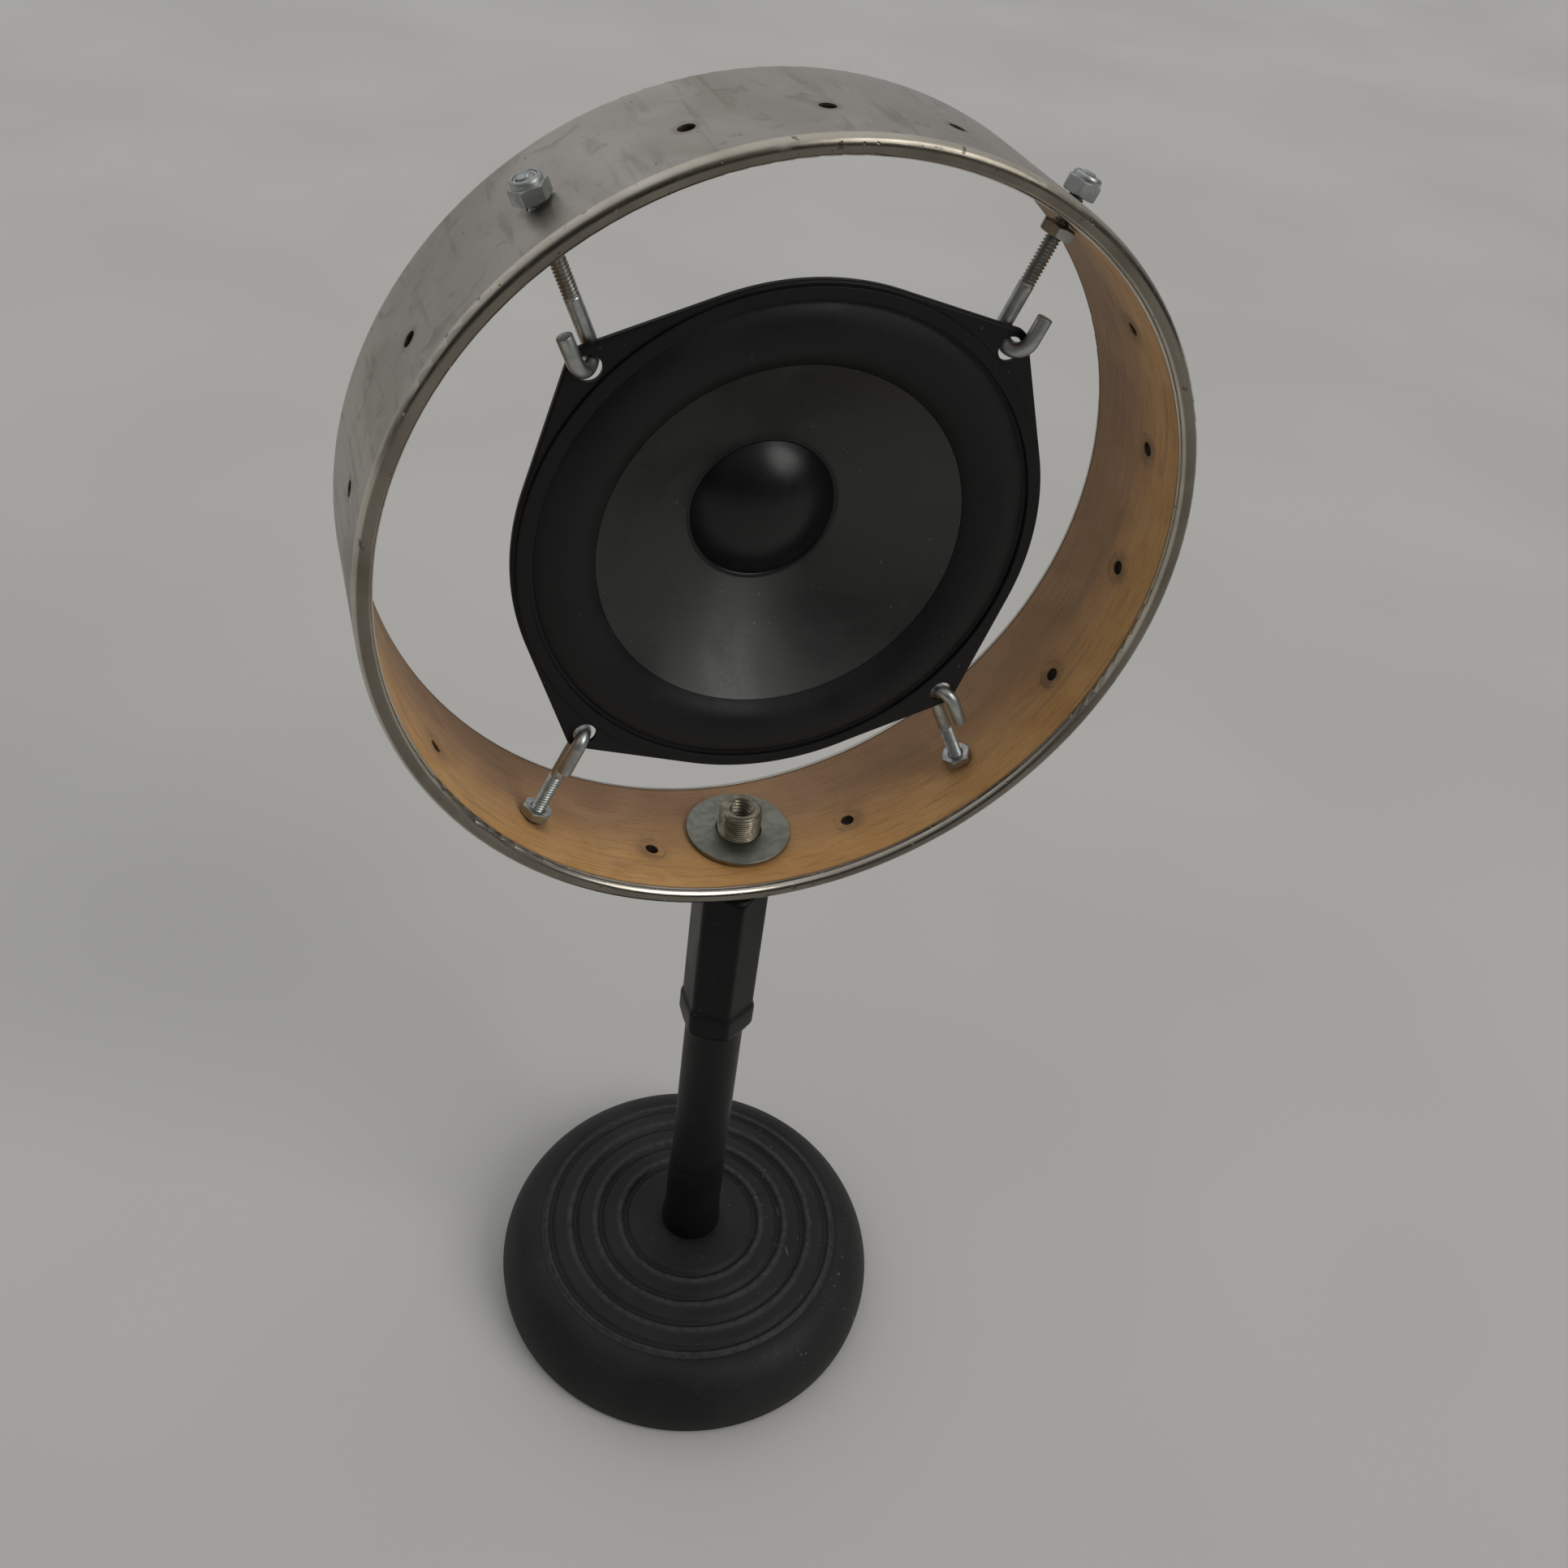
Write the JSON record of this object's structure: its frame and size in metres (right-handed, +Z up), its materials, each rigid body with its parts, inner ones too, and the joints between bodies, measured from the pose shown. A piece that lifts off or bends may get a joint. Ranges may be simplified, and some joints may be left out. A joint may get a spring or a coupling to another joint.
{
  "type": "drum-shell low-frequency microphone",
  "caption": "Small woofer hung by hook bolts inside an upright metal-clad wooden drum shell, on a round-base desk stand, used as a low-frequency drum microphone.",
  "frame": {"origin": "centre of the base's underside, on the surface it stands on", "axes": "+Z up along the stand's tube; the speaker and the open front of the shell face -Y; the shell's axis is parallel to Y"},
  "size_m": [0.26, 0.1732, 0.533],
  "materials": {
    "base_black": "matte black paint, fine texture",
    "pad_rubber": "matte",
    "sleeve_black": "satin",
    "tube_black": "satin black paint",
    "bush_brass": "turned",
    "collet_nylon": "natural nylon",
    "grip_black": "satin black",
    "upper_tube_black": "satin black paint",
    "stub_nickel": "dull nickel plate",
    "zinc": "bright zinc plate",
    "washer_zinc": "dull zinc plate",
    "nickel_silver_skin": "dull, tarnished and stained",
    "maple_liner": "old varnish, stained",
    "insert_nylon": "natural nylon",
    "basket_black": "satin black paint",
    "gasket_black": "matte",
    "surround_rubber": "matte",
    "spider_cloth": "woven, resin dipped",
    "plate_steel": "zinc plate",
    "ferrite": "matte",
    "terminal_fibre": "pressed board",
    "tag_brass": "tinned",
    "cone_black": "satin",
    "dust_cap_black": "semi-gloss",
    "former_aluminium": "plain",
    "coil_copper": "enamelled wire"
  },
  "bodies": {
    "stand": {"base_casting": "base_black", "base_pad": "pad_rubber", "foot_collar": "sleeve_black", "tube_sleeve": "sleeve_black", "lower_tube": "tube_black", "clutch_bush": "bush_brass", "clutch_collet": "collet_nylon"},
    "clutch": {"clutch_grip": "grip_black"},
    "post": {"upper_tube": "upper_tube_black", "thread_stub": "stub_nickel", "jam_nut": "zinc", "lower_washer": "washer_zinc"},
    "drum": {"metal_skin": "nickel_silver_skin", "wood_liner": "maple_liner", "fender_washer": "washer_zinc", "hook_bolt_top_left": "zinc", "hook_bolt_top_right": "zinc", "hook_bolt_bottom_left": "zinc", "hook_bolt_bottom_right": "zinc", "inner_hex_nuts": "zinc", "outer_lock_nuts": "zinc", "nylon_inserts": "insert_nylon", "speaker_basket": "basket_black", "front_gasket": "gasket_black", "surround": "surround_rubber", "spider": "spider_cloth", "top_plate": "plate_steel", "magnet": "ferrite", "magnet_yoke": "plate_steel", "terminal_board": "terminal_fibre", "solder_tags": "tag_brass"},
    "driver": {"cone": "cone_black", "dust_cap": "dust_cap_black", "coil_former": "former_aluminium", "voice_coil": "coil_copper"}
  },
  "joints": [
    {"name": "height", "type": "slide", "parent": "stand", "child": "post", "axis": [0, 0, 1], "range_m": [0, 0.1]},
    {"name": "clutch_turn", "type": "hinge", "parent": "stand", "child": "clutch", "pos_m": [0, 0, 0.22], "axis": [0, 0, 1], "range_deg": [0, 180]},
    {"name": "swivel", "type": "hinge", "parent": "post", "child": "drum", "pos_m": [0, 0, 0.28], "axis": [0, 0, 1], "continuous": true},
    {"name": "cone_travel", "type": "slide", "parent": "drum", "child": "driver", "axis": [0, 1, 0], "range_m": [-0.004, 0.004], "stiffness_N_per_m": 1100, "deforming": ["surround", "spider"]}
  ]
}
